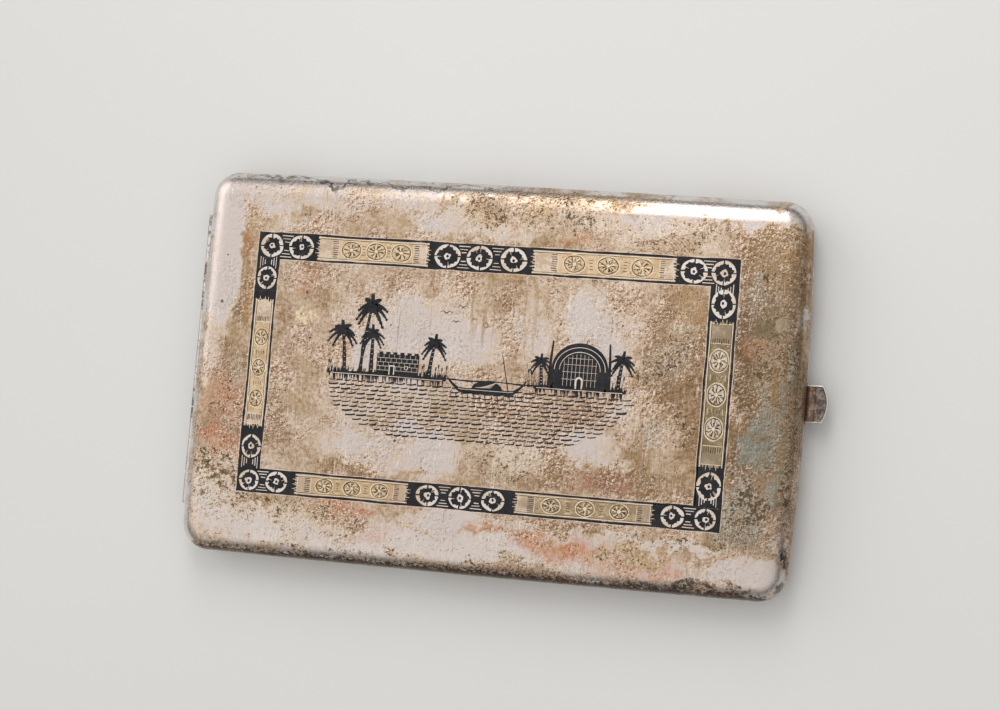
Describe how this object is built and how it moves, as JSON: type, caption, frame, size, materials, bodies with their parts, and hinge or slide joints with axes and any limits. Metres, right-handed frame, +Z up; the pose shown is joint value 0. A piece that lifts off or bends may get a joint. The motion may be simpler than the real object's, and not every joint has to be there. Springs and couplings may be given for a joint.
{
  "type": "cigarette case",
  "caption": "Flat hinged silver case with rolled edges, a niello frame in the lid, a push-in thumb catch and an elastic band inside.",
  "frame": {"origin": "centre of the base's flat underside, with the case closed and lying on its back", "axes": "+X along the case towards the thumb piece, +Y across it, +Z up through the lid"},
  "size_m": [0.1329, 0.08, 0.0108],
  "materials": {
    "silver": "tarnished silver",
    "polished_silver": "rubbed silver",
    "niello": "satin black",
    "gilt": "silver gilt",
    "spring_metal": "hard brass",
    "elastic": "woven elastic"
  },
  "bodies": {
    "base": {"base_shell": "silver", "base_bezel": "gilt", "base_knuckle_1": "polished_silver", "base_knuckle_2": "polished_silver", "base_knuckle_3": "polished_silver", "base_knuckle_4": "polished_silver", "base_knuckle_5": "polished_silver", "hinge_pin": "spring_metal", "tongue_guide": "gilt", "guide_rivet_1": "gilt", "guide_rivet_2": "gilt", "latch_spring": "spring_metal", "spring_rivet": "spring_metal", "retaining_band": "elastic", "band_keeper_left": "gilt", "band_keeper_right": "gilt", "keeper_rivet_1": "gilt", "keeper_rivet_2": "gilt", "keeper_rivet_3": "gilt", "keeper_rivet_4": "gilt"},
    "lid": {"lid_shell": "silver", "niello_border": "niello", "lid_knuckle_1": "polished_silver", "lid_knuckle_2": "polished_silver", "lid_knuckle_3": "polished_silver", "lid_knuckle_4": "polished_silver", "lid_catch": "polished_silver"},
    "thumb_piece": {"thumb_tongue": "polished_silver"}
  },
  "joints": [
    {"name": "lid_hinge", "type": "hinge", "parent": "base", "child": "lid", "pos_m": [-0.0639, 0, 0.0054], "axis": [0, -1, 0], "range_deg": [0, 180]},
    {"name": "thumb_press", "type": "slide", "parent": "base", "child": "thumb_piece", "axis": [-1, 0, 0], "range_m": [0, 0.001], "stiffness_N_per_m": 900, "springref_m": -0.0005, "deforming": ["latch_spring"]}
  ]
}
